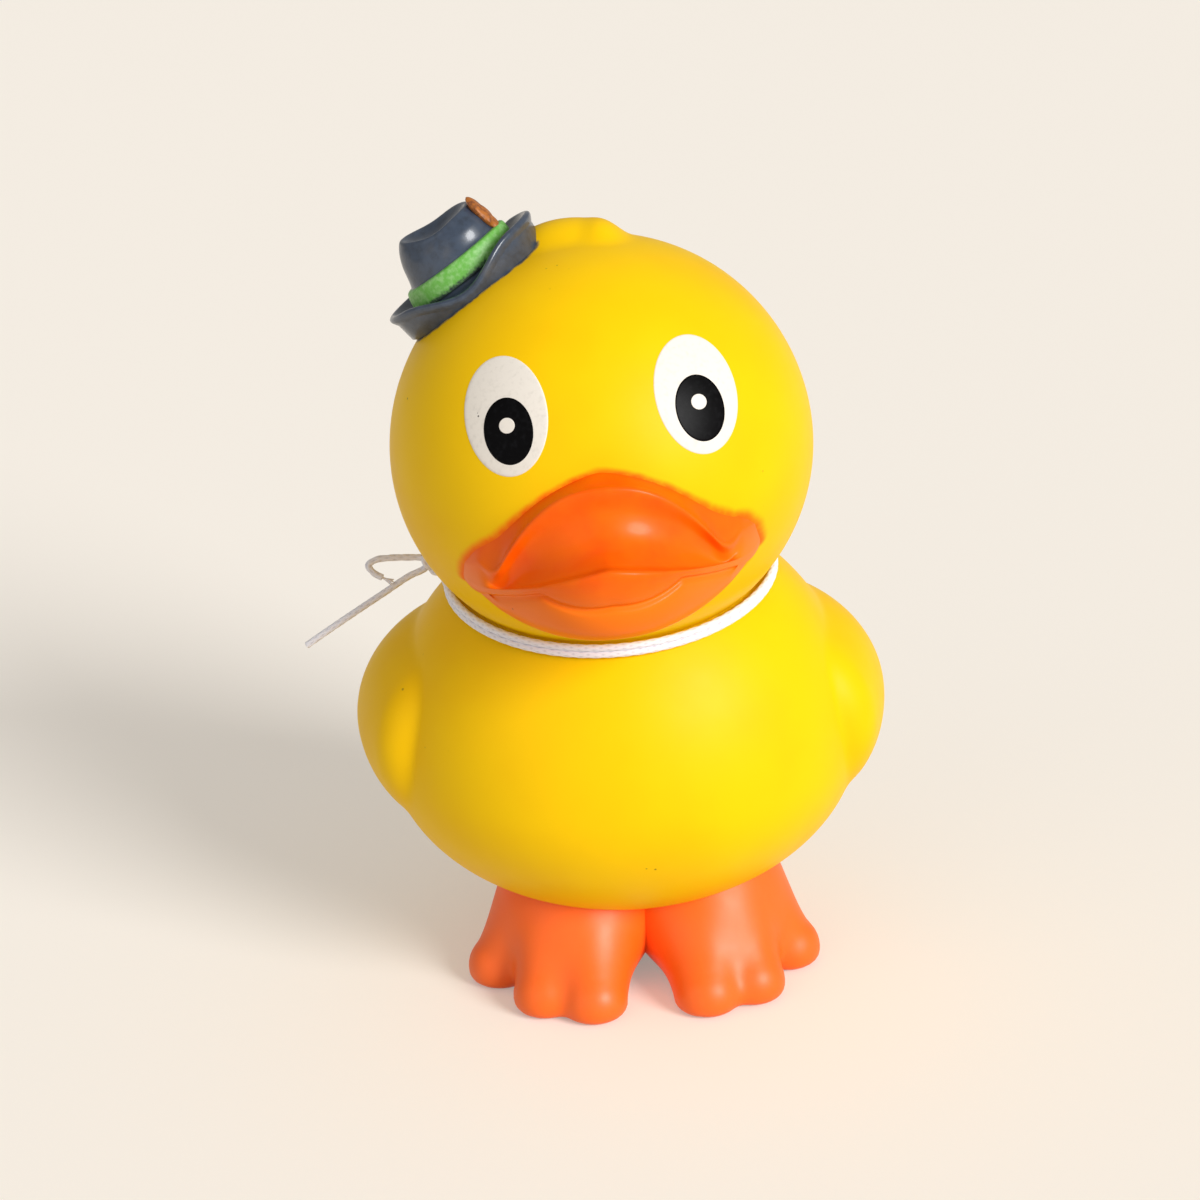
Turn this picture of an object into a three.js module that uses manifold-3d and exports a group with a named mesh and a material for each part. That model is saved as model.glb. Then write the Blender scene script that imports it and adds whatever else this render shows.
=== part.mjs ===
// Standing rubber duck with a small hat, and a thin cord wound twice round its neck
// Millimetres, +Z up, the duck faces -Y and stands on Z = 0

import * as THREE from 'three';
import { mergeVertices } from 'three/addons/utils/BufferGeometryUtils.js';
import Module from 'manifold-3d';

// Body
const BODY_HALF_WIDTH = 25.8;
const BODY_HALF_DEPTH = 24;
const BODY_BELOW = 17.9;
const BODY_ABOVE = 26;
const BELLY_CLEARANCE = 7.4;
const WALL = 2.2;
const VENT_DIAMETER = 4;
const VENT_BACK = 14;

// Wings and tail, measured from the widest level of the body
const WING_PROUD = 3.2;
const WING_SWELL = 12;
const WING_HALF_LENGTH = 15;
const WING_EDGE_ROUNDING = 3;
const WING_BELOW = 12;
const WING_ABOVE = 12.5;
const WING_BACK = 4;
const WING_RISE = 3;
const TAIL_LENGTH = 9;
const TAIL_RISE = 7;

// Head
const HEAD_RADIUS = 22;
const HEAD_BELOW = 21.2;
const HEAD_SINK = 13.3;
const HEAD_FORWARD = 4;
const HEAD_COCK = THREE.MathUtils.degToRad(4.5);
const TUFT_HEIGHT = 2.5;
const TUFT_HALF_LENGTH = 5.2;

// Beak, measured from the centre of the head
const BEAK_HALF_WIDTH = 15.6;
const BEAK_REACH = 9;
const BEAK_TOP = 4.4;
const BEAK_TURN = THREE.MathUtils.degToRad(-2.5);
const BEAK_RIDGE_BACK = 6.5;
const BEAK_LIP_DROP = 2;
const BEAK_UNDERSIDE = 11;
const BEAK_DISH = 2;
const BEAK_TIP_FACE = 3.8;
const BEAK_TIP_FACE_HALF_WIDTH = 6.8;
const MOUTH_GROOVE = 0.5;

// Hat, measured from the crown of the head along the hat's own axis
const HAT_AXIS = new THREE.Vector3(-0.556, 0.13, 0.821).normalize();
const HAT_BRIM_RADIUS = 9;
const HAT_BRIM_CURL = 2.3;
const HAT_CROWN_RADIUS = 6;
const HAT_CROWN_TOP_RADIUS = 4.2;
const HAT_CROWN_HEIGHT = 7.4;
const HAT_CROWN_LEAN = 0.85;
const HAT_CROWN_DENT = 1.3;
const HAT_BAND_HEIGHT = 2;
const HAT_BAND_PROUD = 0.25;

// Feet
const TOE_RADIUS = 3.1;
const INSTEP_RADIUS = 9.4;
const INSTEP_SPREAD = 6.6;
const INSTEP_FORWARD = 5;
const FOOT_LENGTH = 18;
const TOES_OUT = [-0.04, 0.23, 0.54];
const TOES_FORWARD = [0.67, 0.57, 0.15];

// Cord
const CORD_DIAMETER = 0.7;
const CORD_CLEARANCE = 0.3;
const KNOT_HEADING = THREE.MathUtils.degToRad(167);
const KNOT_RADIUS = 1.15;

// Levels and centres that follow from the sizes above
const bodyCentre = [0, 0, BELLY_CLEARANCE + BODY_BELOW];
const headCentre = [0, -HEAD_FORWARD, bodyCentre[2] + BODY_ABOVE + HEAD_RADIUS - HEAD_SINK];
const neckLevel = headCentre[2] - 0.7 * HEAD_RADIUS;
const headPose = new THREE.Matrix4().makeTranslation(0, 0, neckLevel)
  .multiply(new THREE.Matrix4().makeRotationY(-HEAD_COCK))
  .multiply(new THREE.Matrix4().makeTranslation(headCentre[0], headCentre[1], headCentre[2] - neckLevel));
const headPoseInverse = headPose.clone().invert();

const wasm = await Module();
wasm.setup();

// Signed fields: negative inside, zero on the surface, about a true distance close to it
function egg(centre, radii, above = radii[2]) {
  return (x, y, z) => {
    const rise = z - centre[2];
    const rz = rise > 0 ? above : radii[2];
    const px = (x - centre[0]) / radii[0];
    const py = (y - centre[1]) / radii[1];
    const pz = rise / rz;
    const span = Math.hypot(px, py, pz);
    const slope = Math.hypot(px / radii[0], py / radii[1], pz / rz);
    return slope < 1e-9 ? -Math.min(...radii) : span * (span - 1) / slope;
  };
}

function taperedRod(from, to, radiusFrom, radiusTo) {
  const run = to.map((value, i) => value - from[i]);
  const length2 = run.reduce((sum, value) => sum + value * value, 0);
  return (x, y, z) => {
    const along = ((x - from[0]) * run[0] + (y - from[1]) * run[1] + (z - from[2]) * run[2]) / length2;
    const t = Math.min(1, Math.max(0, along));
    const gap = Math.hypot(x - from[0] - t * run[0], y - from[1] - t * run[1], z - from[2] - t * run[2]);
    return gap - radiusFrom - t * (radiusTo - radiusFrom);
  };
}

function blend(radius, ...fields) {
  return (x, y, z) => fields.map((field) => field(x, y, z)).reduce((a, b) => {
    const overlap = Math.max(radius - Math.abs(a - b), 0) / radius;
    return Math.min(a, b) - overlap * overlap * radius / 4;
  });
}

function common(radius, a, b) {
  const joined = blend(radius, (x, y, z) => -a(x, y, z), (x, y, z) => -b(x, y, z));
  return (x, y, z) => -joined(x, y, z);
}

function tilted(field, pivot, angle) {
  const c = Math.cos(angle);
  const s = Math.sin(angle);
  return (x, y, z) => {
    const dy = y - pivot[1];
    const dz = z - pivot[2];
    return field(x, pivot[1] + c * dy + s * dz, pivot[2] - s * dy + c * dz);
  };
}

// One wing: a swelling on the side of the body with a rounded front edge, and a tip at the back
function wingField(side) {
  const x = side * (BODY_HALF_WIDTH + WING_PROUD - WING_SWELL);
  const z = bodyCentre[2] + WING_RISE;
  const swelling = egg([x, WING_BACK, z], [WING_SWELL, WING_HALF_LENGTH + 5, WING_BELOW], WING_ABOVE);
  const outline = egg([0, WING_BACK, z], [1, WING_HALF_LENGTH, WING_BELOW + 5], WING_ABOVE + 9);
  const pad = common(WING_EDGE_ROUNDING, swelling, (px, py, pz) => outline(0, py, pz));
  const tipCentre = [side * (BODY_HALF_WIDTH - 5), WING_BACK + 0.6 * WING_HALF_LENGTH, z - 1];
  const tip = tilted(egg(tipCentre, [5, 10, 5]), tipCentre, 0.05);
  return blend(4, pad, tip);
}

// Body with its wings and its turned-up tail
function trunkField() {
  const barrel = egg(bodyCentre, [BODY_HALF_WIDTH, BODY_HALF_DEPTH, BODY_BELOW], BODY_ABOVE);
  const tailCentre = [0, BODY_HALF_DEPTH - 3, bodyCentre[2] + TAIL_RISE];
  const tail = tilted(egg(tailCentre, [9, TAIL_LENGTH, 4.5]), tailCentre, 0.6);
  const rump = blend(8, barrel, tail);
  return blend(0.9, blend(0.9, rump, wingField(-1)), wingField(1));
}

// Head in its own frame, with the two-lobed tuft on its crown
function headField(withTuft) {
  const ball = egg([0, 0, 0], [HEAD_RADIUS, HEAD_RADIUS, HEAD_BELOW], HEAD_RADIUS);
  if (!withTuft) {
    return ball;
  }
  const back = 0.15 * HEAD_RADIUS;
  const level = Math.sqrt(HEAD_RADIUS ** 2 - back ** 2);
  const sweep = egg([-0.8, back, level - 0.4], [TUFT_HALF_LENGTH, 3.2, TUFT_HEIGHT + 0.3]);
  const curl = egg([0.5 * TUFT_HALF_LENGTH, back - 0.6, level - 0.2], [2.2, 2.9, TUFT_HEIGHT + 0.1]);
  return blend(1, ball, blend(0.5, sweep, curl));
}

// One foot: three toes that fan out from the instep, and a rounded heel
function footField(side) {
  const instep = [side * INSTEP_SPREAD, -INSTEP_FORWARD, INSTEP_RADIUS - 1.2];
  const toes = TOES_OUT.map((out, i) => {
    const tip = [
      instep[0] + side * out * FOOT_LENGTH,
      instep[1] - TOES_FORWARD[i] * FOOT_LENGTH,
      0.75 * TOE_RADIUS,
    ];
    return taperedRod(instep, tip, INSTEP_RADIUS - 0.4, TOE_RADIUS);
  });
  const heel = taperedRod(instep, [instep[0], 0.3 * FOOT_LENGTH, 3.5], INSTEP_RADIUS, 4.5);
  return blend(1.4, ...toes, heel);
}

// Meshes and solids
function weld(geometry) {
  geometry.deleteAttribute('normal');
  geometry.deleteAttribute('uv');
  const welded = mergeVertices(geometry, 1e-4);
  const kept = [];
  const index = welded.index.array;
  for (let i = 0; i < index.length; i += 3) {
    const [a, b, c] = [index[i], index[i + 1], index[i + 2]];
    if (a !== b && b !== c && c !== a) {
      kept.push(a, b, c);
    }
  }
  welded.setIndex(kept);
  return welded;
}

function signedVolume(geometry) {
  const spot = geometry.attributes.position;
  const corner = [0, 1, 2].map(() => new THREE.Vector3());
  let sum = 0;
  for (let i = 0; i < geometry.index.count; i += 3) {
    corner.forEach((v, k) => v.fromBufferAttribute(spot, geometry.index.getX(i + k)));
    sum += corner[0].dot(corner[1].cross(corner[2])) / 6;
  }
  return sum;
}

function solid(geometry) {
  const welded = weld(geometry);
  const triVerts = Uint32Array.from(welded.index.array);
  if (signedVolume(welded) < 0) {
    triVerts.reverse();
  }
  const vertProperties = Float32Array.from(welded.attributes.position.array);
  return new wasm.Manifold(new wasm.Mesh({ numProp: 3, vertProperties, triVerts }));
}

function meshGeometry(shape) {
  const mesh = shape.getMesh();
  const geometry = new THREE.BufferGeometry();
  geometry.setAttribute('position', new THREE.BufferAttribute(mesh.vertProperties, 3));
  geometry.setIndex(new THREE.BufferAttribute(mesh.triVerts, 1));
  return geometry;
}

// Skin of a rounded form: each direction from a seed inside is followed out to the zero of the field
function skin(field, seed, detail, reach) {
  const geometry = weld(new THREE.IcosahedronGeometry(1, detail));
  const spot = geometry.attributes.position;
  const ray = new THREE.Vector3();
  for (let i = 0; i < spot.count; i += 1) {
    ray.fromBufferAttribute(spot, i).normalize();
    let inside = 0;
    let outside = reach;
    for (let step = 0; step < 40; step += 1) {
      const middle = (inside + outside) / 2;
      const value = field(seed[0] + middle * ray.x, seed[1] + middle * ray.y, seed[2] + middle * ray.z);
      if (value < 0) {
        inside = middle;
      } else {
        outside = middle;
      }
    }
    spot.setXYZ(i, seed[0] + inside * ray.x, seed[1] + inside * ray.y, seed[2] + inside * ray.z);
  }
  return geometry;
}

// Beak section at a share of its half width: stations as [forward, up] from the head's centre
function beakStations(share) {
  const a = Math.abs(share);
  const x = BEAK_HALF_WIDTH * a;
  const onHead = (z) => Math.sqrt(Math.max(HEAD_RADIUS ** 2 - x * x - z * z, 4));
  const corner = Math.sqrt(Math.max(HEAD_RADIUS ** 2 - BEAK_HALF_WIDTH ** 2 - 36, 16)) + 0.4;
  const tip = HEAD_RADIUS + BEAK_REACH;
  const fullness = (1 - a * a) ** 1.1;
  const lip = [corner + (tip - corner) * fullness, -BEAK_LIP_DROP - 6.2 * a ** 1.35];
  const outlineTop = BEAK_TOP - 8.9 * a ** 1.35;
  const root = [onHead(outlineTop + 0.5) - 1.4, outlineTop + 0.5];
  const dish = THREE.MathUtils.smoothstep(0.86 - a, 0, 0.2);
  const rim = [tip - BEAK_RIDGE_BACK * (1 + a * a), BEAK_TOP - 0.4 - 18.8 * a ** 2.35];
  const shoulder = [0.5 * (root[0] + lip[0]) + 0.9, 0.45 * root[1] + 0.55 * lip[1] + 0.4];
  const ridge = rim.map((value, i) => THREE.MathUtils.lerp(shoulder[i], value, dish));
  const ridgeBack = [ridge[0] - 0.4 - 0.4 * dish, ridge[1] + 0.5 - 0.3 * dish];
  const hollow = (t, depth) => [
    THREE.MathUtils.lerp(ridge[0], lip[0], t) - depth * dish * BEAK_DISH * 0.7,
    THREE.MathUtils.lerp(ridge[1], lip[1], t) - depth * dish * BEAK_DISH * 0.7,
  ];
  const lens = Math.max(0, 1 - (x / BEAK_TIP_FACE_HALF_WIDTH) ** 2);
  const face = 0.6 + (BEAK_TIP_FACE - 0.6) * lens;
  const under = [corner + (tip - 5 - corner) * (1 - a * a), -BEAK_UNDERSIDE + 4.2 * a ** 2.4];
  const mouth = [lip[0] - 0.35 * face, lip[1] - face];
  const rimLow = [mouth[0] - 0.2, Math.max(mouth[1] - 1.1, under[1] + 1.2)];
  const chin = [
    THREE.MathUtils.lerp(rimLow[0], under[0], 0.45) + 0.7 * (1 - a),
    THREE.MathUtils.lerp(rimLow[1], under[1], 0.6),
  ];
  return [
    [8, root[1] - 1.5],
    root,
    ridgeBack,
    ridge,
    hollow(0.2, 0.7),
    hollow(0.5, 1),
    hollow(0.85, 0.5),
    lip,
    [lip[0] - 0.05 - 0.1 * face, lip[1] - 0.55 * face],
    mouth,
    [mouth[0] - MOUTH_GROOVE, mouth[1] - 0.45],
    rimLow,
    chin,
    under,
    [onHead(under[1]) - 2, under[1] - 0.9],
    [8, under[1] + 0.5],
  ];
}

const LIP_STATION = 7;

// Beak: sections lofted from corner to corner, drawn together to a point at each end
function beakGeometry(sections, perSpan) {
  const rows = [];
  for (let i = 1; i < sections; i += 1) {
    const share = Math.sin(Math.PI * (i / sections - 0.5));
    const stations = beakStations(share).map(([forward, up]) => new THREE.Vector3(0, -forward, up));
    const curve = new THREE.CatmullRomCurve3(stations, true, 'centripetal');
    const ring = [];
    stations.forEach((station, k) => {
      for (let j = 0; j < perSpan; j += 1) {
        ring.push(curve.getPoint((k + j / perSpan) / stations.length));
      }
    });
    const lip = stations[LIP_STATION];
    const close = Math.sqrt(1 - Math.abs(share) ** 8);
    const heart = new THREE.Vector3(0, lip.y + 3, lip.z - 0.3);
    rows.push(ring.map((p) => p.sub(heart).multiplyScalar(close).add(heart).setX(BEAK_HALF_WIDTH * share)));
  }
  const count = rows[0].length;
  const points = rows.flat();
  const middle = (row) => row.reduce((sum, p) => sum.add(p), new THREE.Vector3()).divideScalar(count);
  const firstPole = points.push(middle(rows[0]).setX(-BEAK_HALF_WIDTH)) - 1;
  const lastPole = points.push(middle(rows[rows.length - 1]).setX(BEAK_HALF_WIDTH)) - 1;
  const index = [];
  for (let k = 0; k < count; k += 1) {
    const next = (k + 1) % count;
    index.push(firstPole, next, k);
    for (let row = 0; row < rows.length - 1; row += 1) {
      const base = row * count;
      index.push(base + k, base + next, base + count + k);
      index.push(base + next, base + count + next, base + count + k);
    }
    const last = (rows.length - 1) * count;
    index.push(lastPole, last + k, last + next);
  }
  const geometry = new THREE.BufferGeometry().setFromPoints(points);
  geometry.setIndex(index);
  return geometry;
}

// Frame on the head's crown whose Z is the hat's axis and whose X runs along the curled ends of the brim
function hatPose() {
  const across = new THREE.Vector3(0, 1, 0).cross(HAT_AXIS).normalize();
  const along = HAT_AXIS.clone().cross(across);
  const base = HAT_AXIS.clone().multiplyScalar(HEAD_RADIUS);
  return new THREE.Matrix4().makeBasis(across, along, HAT_AXIS).setPosition(base);
}

// Hat: a turned form whose brim is curled up at two ends and whose crown leans and is dented
function hatGeometry() {
  const seat = -1 - HAT_BRIM_RADIUS ** 2 / (2 * HEAD_RADIUS);
  const band = HAT_CROWN_RADIUS + HAT_BAND_PROUD;
  const profile = [
    [0, -4], [HAT_BRIM_RADIUS - 3, -4], [HAT_BRIM_RADIUS - 0.5, seat],
    [HAT_BRIM_RADIUS, -0.9], [HAT_BRIM_RADIUS + 0.1, -0.1], [HAT_BRIM_RADIUS - 0.4, 0.25],
    [HAT_BRIM_RADIUS - 1.4, 0.1], [band + 0.4, 0.35], [band, 0.8],
    [band - 0.1, 0.8 + HAT_BAND_HEIGHT], [HAT_CROWN_RADIUS - 0.4, 0.9 + HAT_BAND_HEIGHT],
    [0.5 * (HAT_CROWN_RADIUS + HAT_CROWN_TOP_RADIUS), 0.72 * HAT_CROWN_HEIGHT],
    [HAT_CROWN_TOP_RADIUS + 0.2, 0.92 * HAT_CROWN_HEIGHT], [HAT_CROWN_TOP_RADIUS - 0.3, HAT_CROWN_HEIGHT],
    [0.6 * HAT_CROWN_TOP_RADIUS, HAT_CROWN_HEIGHT - 0.4], [0, HAT_CROWN_HEIGHT - 0.6],
  ];
  const geometry = new THREE.LatheGeometry(profile.map(([r, z]) => new THREE.Vector2(r, z)), 40);
  geometry.rotateX(Math.PI / 2);
  const spot = geometry.attributes.position;
  for (let i = 0; i < spot.count; i += 1) {
    const x = spot.getX(i);
    const y = spot.getY(i);
    const z = spot.getZ(i);
    const radius = Math.hypot(x, y);
    const out = THREE.MathUtils.smoothstep(radius, HAT_CROWN_RADIUS, HAT_BRIM_RADIUS);
    const up = THREE.MathUtils.smoothstep(z, 0.5 * HAT_CROWN_HEIGHT, HAT_CROWN_HEIGHT);
    const end = THREE.MathUtils.smoothstep(Math.abs(x), 0, 0.8 * HAT_BRIM_RADIUS);
    const curl = z > -1 ? HAT_BRIM_CURL * out * end : 0;
    const dent = up * HAT_CROWN_DENT * Math.exp(-((x + 1.2) ** 2) / 8 - (y * y) / 4);
    const rise = up * (0.09 * x + 0.1 * y);
    const lean = z > 0.8 ? HAT_CROWN_LEAN * (z - 0.8) / HAT_CROWN_HEIGHT : 0;
    const pinch = 1 - 0.14 * up * THREE.MathUtils.smoothstep(-x, -2, 4);
    spot.setXYZ(i, x + lean, y * pinch, z + curl - dent + rise);
  }
  return geometry;
}

// Feather laid up the side of the crown, out of the band
function featherGeometry() {
  const geometry = new THREE.IcosahedronGeometry(1, 2);
  geometry.scale(0.7, 1.5, 2.9);
  geometry.rotateY(-0.16);
  geometry.translate(HAT_CROWN_RADIUS - 0.45, 0, 0.74 * HAT_CROWN_HEIGHT);
  return geometry;
}

function inHead(geometry) {
  return geometry.applyMatrix4(headPose);
}

// Moulding: hollow body and head in one, with solid feet, beak and hat, open at a vent under the rump
function duckGeometry() {
  const trunk = trunkField();
  const head = headField(true);
  const inner = headField(false);
  const heart = [0, 0, bodyCentre[2] + 4];
  const reach = 3 * BODY_HALF_WIDTH;
  const outer = [
    solid(skin(trunk, heart, 12, reach)),
    solid(inHead(skin(head, [0, 0, 0], 10, reach))),
    solid(inHead(beakGeometry(24, 2).rotateZ(BEAK_TURN))),
    solid(inHead(hatGeometry().applyMatrix4(hatPose()))),
    solid(inHead(featherGeometry().applyMatrix4(hatPose()))),
    solid(skin(footField(-1), [-INSTEP_SPREAD, -INSTEP_FORWARD, 6], 8, reach)),
    solid(skin(footField(1), [INSTEP_SPREAD, -INSTEP_FORWARD, 6], 8, reach)),
  ].reduce((sum, shape) => sum.add(shape));
  const hollow = solid(skin((x, y, z) => trunk(x, y, z) + WALL, heart, 4, reach))
    .add(solid(inHead(skin((x, y, z) => inner(x, y, z) + WALL, [0, 0, 0], 4, reach))));
  const ground = new THREE.BoxGeometry(200, 200, 20).translate(0, 0, -10);
  const vent = new THREE.CylinderGeometry(VENT_DIAMETER / 2, VENT_DIAMETER / 2, bodyCentre[2], 20)
    .rotateX(Math.PI / 2).translate(0, VENT_BACK, bodyCentre[2] / 2);
  return meshGeometry(outer.subtract(hollow).subtract(solid(vent)).subtract(solid(ground)));
}

// Line of the neck crease: the spot at each heading that is one cord bundle clear of head and body
function neckCrease(headings) {
  const trunk = trunkField();
  const head = headField(false);
  const clear = CORD_DIAMETER + CORD_CLEARANCE;
  const local = new THREE.Vector3();
  const headAt = (x, y, z) => {
    local.set(x, y, z).applyMatrix4(headPoseInverse);
    return head(local.x, local.y, local.z);
  };
  const radiusWhere = (field, heading, z) => {
    let near = 0;
    let far = 2 * BODY_HALF_WIDTH;
    for (let step = 0; step < 40; step += 1) {
      const r = (near + far) / 2;
      if (field(r * Math.cos(heading), r * Math.sin(heading) - 0.5 * HEAD_FORWARD, z) < clear) {
        near = r;
      } else {
        far = r;
      }
    }
    return near;
  };
  return headings.map((heading) => {
    let low = bodyCentre[2] + 0.3 * BODY_ABOVE;
    let high = headCentre[2];
    for (let step = 0; step < 40; step += 1) {
      const z = (low + high) / 2;
      if (radiusWhere(headAt, heading, z) < radiusWhere(trunk, heading, z)) {
        low = z;
      } else {
        high = z;
      }
    }
    const r = radiusWhere(trunk, heading, low);
    return new THREE.Vector3(r * Math.cos(heading), r * Math.sin(heading) - 0.5 * HEAD_FORWARD, low);
  });
}

// Two turns of the cord side by side, as one ring of oval section laid along the crease
function turnsGeometry() {
  const steps = 72;
  const sides = 10;
  const section = [];
  for (let k = 0; k <= sides; k += 1) {
    const turn = 2 * Math.PI * k / sides;
    section.push(new THREE.Vector2(10 + 0.5 * CORD_DIAMETER * Math.cos(turn), CORD_DIAMETER * Math.sin(turn)));
  }
  const geometry = new THREE.LatheGeometry(section, steps).rotateX(Math.PI / 2);
  const headings = [];
  const spot = geometry.attributes.position;
  for (let i = 0; i < spot.count; i += 1) {
    headings.push(Math.atan2(spot.getY(i), spot.getX(i)));
  }
  const line = neckCrease(headings);
  line.forEach((p, i) => {
    const outward = Math.hypot(spot.getX(i), spot.getY(i)) - 10;
    spot.setXYZ(
      i,
      p.x + outward * Math.cos(headings[i]),
      p.y + outward * Math.sin(headings[i]),
      p.z + spot.getZ(i),
    );
  });
  return geometry;
}

// Knot: two crossed lobes just outside the turns
function knotCentre() {
  const [spot] = neckCrease([KNOT_HEADING]);
  const out = 0.5 * CORD_DIAMETER + CORD_CLEARANCE + KNOT_RADIUS;
  return spot.add(new THREE.Vector3(Math.cos(KNOT_HEADING), Math.sin(KNOT_HEADING), 0).multiplyScalar(out));
}

function knotGeometry() {
  const c = knotCentre();
  const upright = egg([c.x, c.y, c.z], [0.8 * KNOT_RADIUS, 0.7 * KNOT_RADIUS, 1.2 * KNOT_RADIUS]);
  const lying = egg([c.x, c.y, c.z], [KNOT_RADIUS, 1.2 * KNOT_RADIUS, 0.75 * KNOT_RADIUS]);
  return skin(blend(0.3, upright, lying), [c.x, c.y, c.z], 3, 4 * KNOT_RADIUS);
}

// Free tails: round cord led out of the knot through spots given from the knot's centre
function tailGeometry(spots, steps) {
  const c = knotCentre();
  const path = new THREE.CatmullRomCurve3(spots.map(([x, y, z]) => new THREE.Vector3(x, y, z).add(c)));
  const round = new THREE.Shape();
  round.absarc(0, 0, CORD_DIAMETER / 2, 0, 2 * Math.PI, false);
  return new THREE.ExtrudeGeometry(round, { steps, curveSegments: 4, extrudePath: path });
}

const leave = -0.98 * KNOT_RADIUS - CORD_CLEARANCE;
const LOWER_TAIL = [
  [leave, 0.1, -0.5], [leave - 1.6, 0, -0.8], [leave - 4.8, -0.4, -2.2], [leave - 8.5, -0.8, -4.3],
  [leave - 12.2, -1, -6.8], [leave - 13.6, -1, -7.8],
];
const UPPER_TAIL = [
  [leave, 0.3, 0.7], [leave - 1.8, 0.4, 1.1], [leave - 4.6, 0.3, 1.5], [leave - 6.4, 0.2, 1.4],
  [leave - 7.3, 0, 0.9], [leave - 6.7, -0.2, 0.1], [leave - 5.4, -0.4, -0.7],
];

// Materials and nodes
const vinyl = new THREE.MeshStandardMaterial({ name: 'yellow_vinyl', color: 0xf7d200, roughness: 0.38, metalness: 0 });
const braid = new THREE.MeshStandardMaterial({ name: 'white_cord', color: 0xdedbe4, roughness: 0.85, metalness: 0 });

const duck = new THREE.Group();
duck.name = 'rubber_duck';
const pieces = [
  ['duck_body', duckGeometry(), vinyl],
  ['neck_cord_turns', meshGeometry(solid(turnsGeometry())), braid],
  ['neck_cord_knot', meshGeometry(solid(knotGeometry())), braid],
  ['neck_cord_tail_lower', meshGeometry(solid(tailGeometry(LOWER_TAIL, 24))), braid],
  ['neck_cord_tail_upper', meshGeometry(solid(tailGeometry(UPPER_TAIL, 24))), braid],
];
const bounds = new THREE.Box3().setFromBufferAttribute(pieces[0][1].attributes.position);
const middle = bounds.getCenter(new THREE.Vector3());
pieces.forEach(([name, geometry, material]) => {
  geometry.translate(-middle.x, -middle.y, -bounds.min.z);
  const mesh = new THREE.Mesh(geometry, material);
  mesh.name = name;
  duck.add(mesh);
});

export default duck;
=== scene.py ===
"""Standing rubber duck with a small hat and a cord wound twice round its neck, as a Blender add-on."""

import math

import bmesh
import bpy
import numpy as np
from mathutils import Matrix, Vector
from mathutils.kdtree import KDTree


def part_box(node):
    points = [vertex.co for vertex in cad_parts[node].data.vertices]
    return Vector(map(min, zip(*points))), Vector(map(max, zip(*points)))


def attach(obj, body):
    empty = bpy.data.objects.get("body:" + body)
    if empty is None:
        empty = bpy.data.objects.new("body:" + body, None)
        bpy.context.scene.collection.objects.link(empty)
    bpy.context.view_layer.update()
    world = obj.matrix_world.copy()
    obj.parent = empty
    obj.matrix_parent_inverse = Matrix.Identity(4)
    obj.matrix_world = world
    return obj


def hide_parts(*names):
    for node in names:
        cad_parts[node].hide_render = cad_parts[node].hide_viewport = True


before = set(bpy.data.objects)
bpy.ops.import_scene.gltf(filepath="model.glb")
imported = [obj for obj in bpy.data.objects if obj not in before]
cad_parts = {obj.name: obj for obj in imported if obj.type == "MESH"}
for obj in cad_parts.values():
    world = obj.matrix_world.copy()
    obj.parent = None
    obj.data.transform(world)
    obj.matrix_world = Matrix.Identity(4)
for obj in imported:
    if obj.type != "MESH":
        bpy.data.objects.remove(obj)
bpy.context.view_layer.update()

bl_info = {
    "name": "Rubber Duck",
    "version": (1, 0, 0),
    "blender": (4, 5, 0),
    "location": "View3D > Sidebar > Duck",
    "description": "Builds a standing rubber duck with a hat and a neck cord",
    "category": "Add Mesh",
}

MM = 0.001
BODY = "root"
VINYL_SLOT = "yellow_vinyl"
CORD_SLOT = "white_cord"
DUCK_NODE = "duck_body"
KNOT_NODE = "neck_cord_knot"
UPPER_TAIL_NODE = "neck_cord_tail_upper"
CORD_NODES = ("neck_cord_turns", KNOT_NODE, "neck_cord_tail_lower", UPPER_TAIL_NODE)


def size_prop(name, description, millimetres):
    """A length that a user may change, shown in the scene's units."""
    return bpy.props.FloatProperty(
        name=name, description=description, default=millimetres * MM, min=0.0, unit="LENGTH", precision=5
    )


def angle_prop(name, description, degrees):
    """An angle that a user may change, shown in degrees."""
    default = math.radians(degrees)
    return bpy.props.FloatProperty(name=name, description=description, default=default, subtype="ANGLE")


def colour_prop(name, description, red, green, blue):
    """A colour given in 8-bit display values and kept as linear light."""
    linear = [srgb_to_linear(value / 255) for value in (red, green, blue)]
    return bpy.props.FloatVectorProperty(
        name=name, description=description, default=(*linear, 1.0), size=4, subtype="COLOR", min=0.0, max=1.0
    )


def srgb_to_linear(value):
    if value <= 0.04045:
        return value / 12.92
    return ((value + 0.055) / 1.055) ** 2.4


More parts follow.
